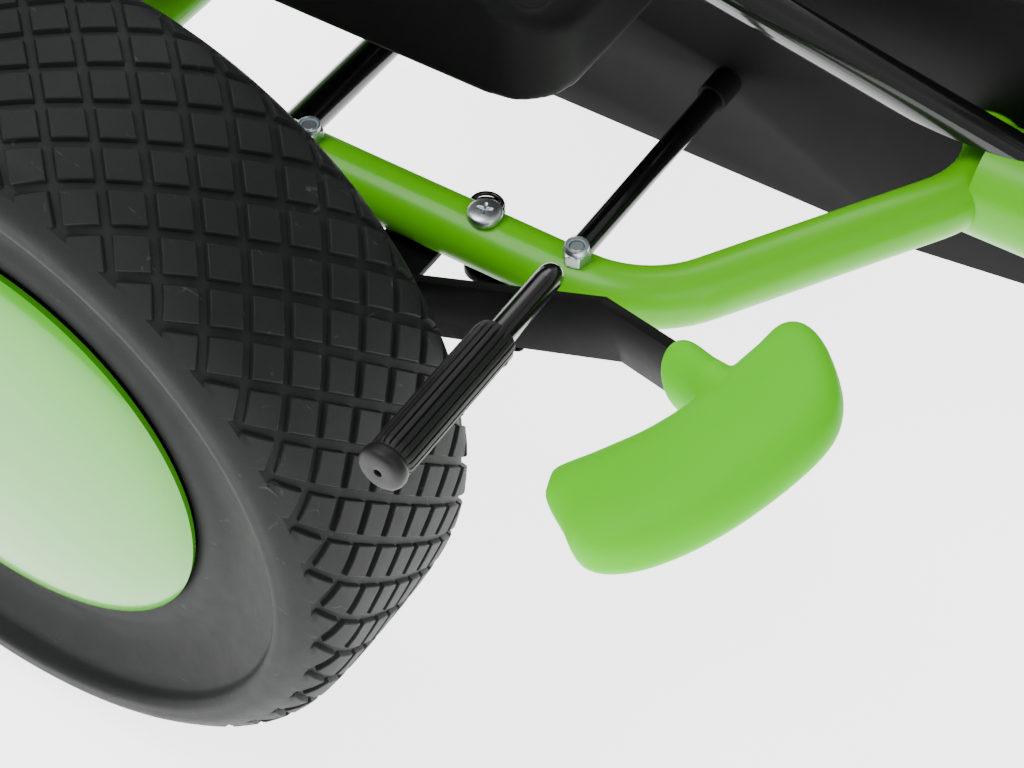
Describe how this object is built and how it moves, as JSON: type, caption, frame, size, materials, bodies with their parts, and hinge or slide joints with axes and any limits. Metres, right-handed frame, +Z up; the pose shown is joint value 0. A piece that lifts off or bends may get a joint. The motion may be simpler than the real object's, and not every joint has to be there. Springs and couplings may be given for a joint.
{
  "type": "pedal go kart",
  "caption": "Child's pedal go kart: round-tube frame, foam tyres with diamond tread, chain drive, steering linkage, bucket seat and a hand lever that presses a rubber sleeve on a rear tyre",
  "frame": {"origin": "middle of the bounding box, on the floor under the tyres", "axes": "+Z up, the kart faces -Y, +X is the driver's left"},
  "size_m": [0.596, 1.121, 0.6596],
  "materials": {
    "frame_green": "glossy green powder coat",
    "black_steel": "satin black powder coat",
    "zinc": "bright zinc plating",
    "axle_steel": "plain bright steel",
    "foam_tyre": "soft matt foam, diamond tread",
    "rubber_black": "ribbed soft rubber",
    "plastic_black": "fine grained moulding",
    "grip_green": "bright green moulding",
    "cap_green": "glossy green moulding",
    "bush_white": "nylon"
  },
  "bodies": {
    "frame": {"rear_loop": "frame_green", "rail_plugs": "plastic_black", "front_frame": "frame_green", "socket_bolt": "zinc", "axle_bracket_right": "black_steel", "axle_bracket_left": "black_steel", "axle_bushes": "bush_white", "lock_nuts": "zinc", "frame_bolts": "zinc", "brake_saddle": "black_steel", "saddle_screw": "zinc", "spring_hanger": "zinc", "return_spring": "black_steel", "lever_bracket": "black_steel", "bracket_screw": "zinc", "lever_pivot": "zinc", "chain": "axle_steel", "chain_guard": "plastic_black", "guard_cover": "plastic_black", "crank_bushes": "bush_white", "seat": "plastic_black", "seat_frame": "black_steel", "seat_bolts": "zinc", "front_shield": "plastic_black"},
    "rear_axle": {"rear_axle": "axle_steel", "axle_nuts": "zinc", "rear_sprocket": "axle_steel", "tyre_rear_right": "foam_tyre", "hub_rear_right": "plastic_black", "cap_rear_right": "cap_green", "tyre_rear_left": "foam_tyre", "hub_rear_left": "plastic_black", "cap_rear_left": "cap_green"},
    "crank": {"crank": "black_steel", "front_sprocket": "axle_steel", "pedal_caps": "plastic_black"},
    "pedal_right": {"pedal_right": "plastic_black"},
    "pedal_left": {"pedal_left": "plastic_black"},
    "knuckle_right": {"knuckle_right": "black_steel", "stub_nut_right": "zinc"},
    "knuckle_left": {"knuckle_left": "black_steel", "stub_nut_left": "zinc"},
    "wheel_front_right": {"tyre_front_right": "foam_tyre", "hub_front_right": "plastic_black", "cap_front_right": "cap_green"},
    "wheel_front_left": {"tyre_front_left": "foam_tyre", "hub_front_left": "plastic_black", "cap_front_left": "cap_green"},
    "steering": {"steering_shaft": "black_steel", "steering_wheel": "plastic_black", "steering_cap": "plastic_black"},
    "tie_rod_right": {"tie_rod_right": "black_steel"},
    "tie_rod_left": {"tie_rod_left": "black_steel"},
    "brake_shaft": {"brake_shaft": "black_steel", "brake_sleeve": "rubber_black"},
    "brake_lever": {"brake_lever": "black_steel", "lever_grip": "grip_green"},
    "brake_link": {"brake_link": "black_steel"}
  },
  "joints": [
    {"name": "rear_axle_spin", "type": "hinge", "parent": "frame", "child": "rear_axle", "pos_m": [0, 0.3245, 0.165], "axis": [1, 0, 0], "continuous": true},
    {"name": "crank_spin", "type": "hinge", "parent": "frame", "child": "crank", "pos_m": [0, -0.1955, 0.245], "axis": [1, 0, 0], "continuous": true},
    {"name": "pedal_right_spin", "type": "hinge", "parent": "crank", "child": "pedal_right", "pos_m": [-0.118, -0.1955, 0.34], "axis": [1, 0, 0], "continuous": true},
    {"name": "pedal_left_spin", "type": "hinge", "parent": "crank", "child": "pedal_left", "pos_m": [0.118, -0.1955, 0.15], "axis": [1, 0, 0], "continuous": true},
    {"name": "steering_turn", "type": "hinge", "parent": "frame", "child": "steering", "pos_m": [0, -0.4275, 0.255], "axis": [0, 0.766, 0.6428], "range_deg": [-30, 30]},
    {"name": "knuckle_right_turn", "type": "hinge", "parent": "frame", "child": "knuckle_right", "pos_m": [-0.158, -0.4155, 0.195], "axis": [0, 0, 1], "range_deg": [-22.2, 22.2]},
    {"name": "knuckle_left_turn", "type": "hinge", "parent": "frame", "child": "knuckle_left", "pos_m": [0.158, -0.4155, 0.195], "axis": [0, 0, 1], "range_deg": [-22.2, 22.2]},
    {"name": "tie_rod_right_turn", "type": "hinge", "parent": "steering", "child": "tie_rod_right", "pos_m": [0, -0.44935, 0.28105], "axis": [0, 0.766, 0.6428], "range_deg": [-30.2, 30.2]},
    {"name": "tie_rod_left_turn", "type": "hinge", "parent": "steering", "child": "tie_rod_left", "pos_m": [0, -0.44935, 0.28105], "axis": [0, 0.766, 0.6428], "range_deg": [-30.2, 30.2]},
    {"name": "wheel_front_right_spin", "type": "hinge", "parent": "knuckle_right", "child": "wheel_front_right", "pos_m": [-0.24, -0.4155, 0.145], "axis": [1, 0, 0], "continuous": true},
    {"name": "wheel_front_left_spin", "type": "hinge", "parent": "knuckle_left", "child": "wheel_front_left", "pos_m": [0.24, -0.4155, 0.145], "axis": [1, 0, 0], "continuous": true},
    {"name": "brake_lever_pull", "type": "hinge", "parent": "frame", "child": "brake_lever", "pos_m": [-0.169, 0.2445, 0.1808], "axis": [-1, 0, 0], "range_deg": [0, 7]},
    {"name": "brake_shaft_turn", "type": "hinge", "parent": "frame", "child": "brake_shaft", "pos_m": [-0.135, 0.1765, 0.181], "axis": [-1, 0, 0], "range_deg": [0, 30.1], "stiffness_Nm_per_rad": 1.2, "springref_deg": -28.65, "deforming": ["return_spring"]},
    {"name": "brake_link_swing", "type": "hinge", "parent": "brake_lever", "child": "brake_link", "pos_m": [-0.1647, 0.178, 0.2115], "axis": [-1, 0, 0], "range_deg": [-29, 1]}
  ],
  "couplings": [
    {"joint": "crank_spin", "follows": "rear_axle_spin", "ratio": 0.46429},
    {"joint": "knuckle_right_turn", "follows": "steering_turn", "ratio": 0.7337},
    {"joint": "knuckle_left_turn", "follows": "steering_turn", "ratio": 0.7337},
    {"joint": "tie_rod_right_turn", "follows": "steering_turn", "ratio": -1},
    {"joint": "tie_rod_left_turn", "follows": "steering_turn", "ratio": -1},
    {"joint": "brake_shaft_turn", "follows": "brake_lever_pull", "ratio": 4.2857},
    {"joint": "brake_link_swing", "follows": "brake_lever_pull", "ratio": -4.086}
  ]
}
